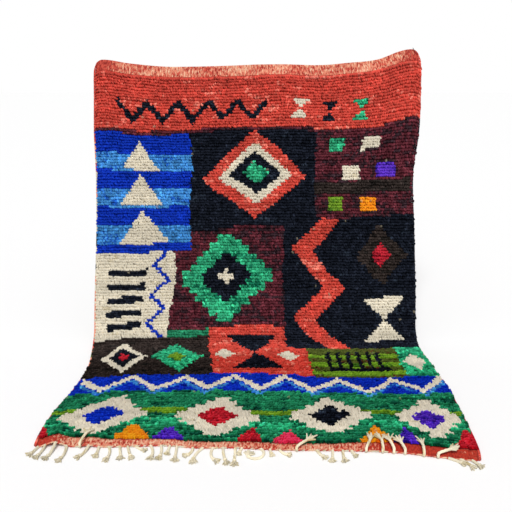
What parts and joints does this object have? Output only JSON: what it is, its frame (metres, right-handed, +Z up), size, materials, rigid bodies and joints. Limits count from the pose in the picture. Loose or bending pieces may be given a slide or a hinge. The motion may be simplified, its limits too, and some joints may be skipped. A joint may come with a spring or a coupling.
{
  "type": "boujaad rug, hung by its top edge with its foot swept over the floor",
  "caption": "Knotted-pile wool rug that hangs from its top edge and sweeps forward over the floor, with flat-woven ends, overcast sides and a knotted front fringe.",
  "frame": {"origin": "on the floor, at the middle of the stretch of the rug's underside that lies flat", "axes": "+Z up, +Y from the front edge towards the hanging part, +X to the right seen from the front"},
  "size_m": [1.6391, 1.3076, 1.4147],
  "materials": {
    "pile_wool": "matt hand-spun wool pile, dyed in many colours",
    "heading_wool": "flat-woven coral wool with pale warps showing",
    "selvedge_wool": "wool yarn wrapped round the edge warps",
    "fringe_cotton": "undyed twisted warp ends, knotted"
  },
  "bodies": {
    "root": {"pile_field": "pile_wool", "heading_top": "heading_wool", "heading_front": "heading_wool", "selvedge_left": "selvedge_wool", "selvedge_right": "selvedge_wool", "fringe": "fringe_cotton"}
  },
  "joints": []
}
